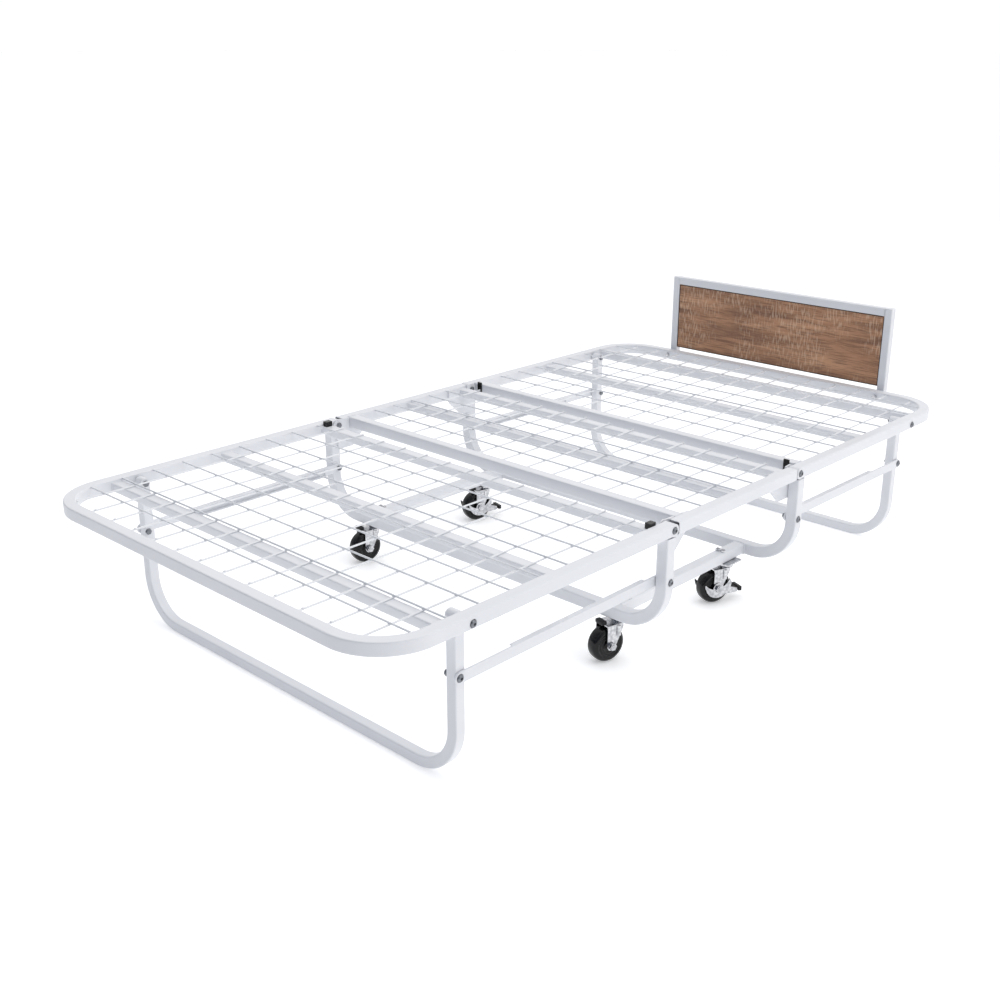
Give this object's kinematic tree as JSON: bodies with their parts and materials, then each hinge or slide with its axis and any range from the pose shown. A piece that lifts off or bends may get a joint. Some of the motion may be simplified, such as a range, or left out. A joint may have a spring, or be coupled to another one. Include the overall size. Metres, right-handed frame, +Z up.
{
  "type": "folding bed frame",
  "caption": "Rollaway folding bed frame: wire-mesh deck in hinged panels on a fixed centre base with swivel casters, folding end legs and a wood-panel headboard.",
  "frame": {"origin": "on the floor, under the middle of the whole bed", "axes": "+Z up, +X along the bed towards the headboard, +Y across the bed"},
  "size_m": [1.8546, 0.997, 0.526],
  "materials": {
    "white_steel": "satin powder coat",
    "zinc_steel": "bright zinc plate",
    "black_plastic": "moulded",
    "black_rubber": "hard rubber",
    "black_steel": "black paint",
    "wood_laminate": "printed laminate"
  },
  "bodies": {
    "base": {"centre_leg_foot": "white_steel", "centre_leg_head": "white_steel", "base_rails": "white_steel", "middle_rails": "white_steel", "middle_bars": "white_steel", "middle_mesh": "white_steel", "hinge_plates": "white_steel", "hinge_bolts": "zinc_steel", "hinge_washers": "black_plastic", "base_link_bolts": "zinc_steel", "caster_plates": "zinc_steel", "caster_bolts": "zinc_steel"},
    "foot_panel": {"foot_frame": "white_steel", "foot_bars": "white_steel", "foot_mesh": "white_steel", "foot_pads": "black_rubber", "foot_leg_bolts": "zinc_steel"},
    "head_panel": {"head_frame": "white_steel", "head_bars": "white_steel", "head_mesh": "white_steel", "head_pads": "black_rubber", "head_leg_bolts": "zinc_steel", "headboard_frame": "white_steel", "headboard_panel": "wood_laminate", "headboard_bolts": "zinc_steel"},
    "foot_leg": {"foot_leg": "white_steel", "foot_link_bolts": "zinc_steel"},
    "head_leg": {"head_leg": "white_steel", "head_link_bolts": "zinc_steel"},
    "foot_links": {"foot_link_near": "white_steel", "foot_link_far": "white_steel"},
    "head_links": {"head_link_near": "white_steel", "head_link_far": "white_steel"},
    "swivel_1": {"fork_1": "zinc_steel", "axle_1": "zinc_steel"},
    "wheel_1": {"hub_1": "black_plastic", "tyre_1": "black_rubber"},
    "swivel_2": {"fork_2": "zinc_steel", "axle_2": "zinc_steel"},
    "wheel_2": {"hub_2": "black_plastic", "tyre_2": "black_rubber"},
    "swivel_3": {"fork_3": "zinc_steel", "axle_3": "zinc_steel"},
    "wheel_3": {"hub_3": "black_plastic", "tyre_3": "black_rubber"},
    "cradle_3": {"brake_3": "zinc_steel", "pedal_3": "black_steel"},
    "swivel_4": {"fork_4": "zinc_steel", "axle_4": "zinc_steel"},
    "wheel_4": {"hub_4": "black_plastic", "tyre_4": "black_rubber"},
    "cradle_4": {"brake_4": "zinc_steel", "pedal_4": "black_steel"}
  },
  "joints": [
    {"name": "foot_fold", "type": "hinge", "parent": "base", "child": "foot_panel", "pos_m": [-0.2043, 0, 0.3075], "axis": [0, 1, 0], "range_deg": [0, 78]},
    {"name": "foot_leg_swing", "type": "hinge", "parent": "foot_panel", "child": "foot_leg", "pos_m": [-0.7293, 0, 0.3045], "axis": [0, 1, 0], "range_deg": [-78, 0]},
    {"name": "foot_link_swing", "type": "hinge", "parent": "base", "child": "foot_links", "pos_m": [-0.2093, 0, 0.2045], "axis": [0, 1, 0], "range_deg": [0, 78]},
    {"name": "head_fold", "type": "hinge", "parent": "base", "child": "head_panel", "pos_m": [0.2347, 0, 0.3075], "axis": [0, -1, 0], "range_deg": [0, 78]},
    {"name": "head_leg_swing", "type": "hinge", "parent": "head_panel", "child": "head_leg", "pos_m": [0.7287, 0, 0.3045], "axis": [0, -1, 0], "range_deg": [-78, 0]},
    {"name": "head_link_swing", "type": "hinge", "parent": "base", "child": "head_links", "pos_m": [0.2397, 0, 0.2045], "axis": [0, -1, 0], "range_deg": [0, 78]},
    {"name": "caster_swivel_1", "type": "hinge", "parent": "base", "child": "swivel_1", "pos_m": [-0.1918, -0.3625, 0.08], "axis": [0, 0, 1], "continuous": true},
    {"name": "wheel_spin_1", "type": "hinge", "parent": "swivel_1", "child": "wheel_1", "pos_m": [-0.22091, -0.35524, 0.0375], "axis": [0.2419, 0.9703, 0], "continuous": true},
    {"name": "caster_swivel_2", "type": "hinge", "parent": "base", "child": "swivel_2", "pos_m": [-0.1918, 0.3625, 0.08], "axis": [0, 0, 1], "continuous": true},
    {"name": "wheel_spin_2", "type": "hinge", "parent": "swivel_2", "child": "wheel_2", "pos_m": [-0.22143, 0.36719, 0.0375], "axis": [0.1564, 0.9877, 0], "continuous": true},
    {"name": "caster_swivel_3", "type": "hinge", "parent": "base", "child": "swivel_3", "pos_m": [0.1812, -0.3625, 0.08], "axis": [0, 0, 1], "continuous": true},
    {"name": "wheel_spin_3", "type": "hinge", "parent": "swivel_3", "child": "wheel_3", "pos_m": [0.15338, -0.35126, 0.0375], "axis": [0.3746, 0.9272, 0], "continuous": true},
    {"name": "brake_press_3", "type": "hinge", "parent": "swivel_3", "child": "cradle_3", "pos_m": [0.15338, -0.35126, 0.0375], "axis": [0.3746, 0.9272, 0], "range_deg": [0, 6]},
    {"name": "caster_swivel_4", "type": "hinge", "parent": "base", "child": "swivel_4", "pos_m": [0.1812, 0.3625, 0.08], "axis": [0, 0, 1], "continuous": true},
    {"name": "wheel_spin_4", "type": "hinge", "parent": "swivel_4", "child": "wheel_4", "pos_m": [0.15209, 0.36976, 0.0375], "axis": [0.2419, 0.9703, 0], "continuous": true},
    {"name": "brake_press_4", "type": "hinge", "parent": "swivel_4", "child": "cradle_4", "pos_m": [0.15209, 0.36976, 0.0375], "axis": [0.2419, 0.9703, 0], "range_deg": [0, 6]}
  ],
  "couplings": [
    {"joint": "foot_leg_swing", "follows": "foot_fold", "ratio": -1},
    {"joint": "foot_link_swing", "follows": "foot_fold", "ratio": 1},
    {"joint": "head_leg_swing", "follows": "head_fold", "ratio": -1},
    {"joint": "head_link_swing", "follows": "head_fold", "ratio": 1}
  ]
}
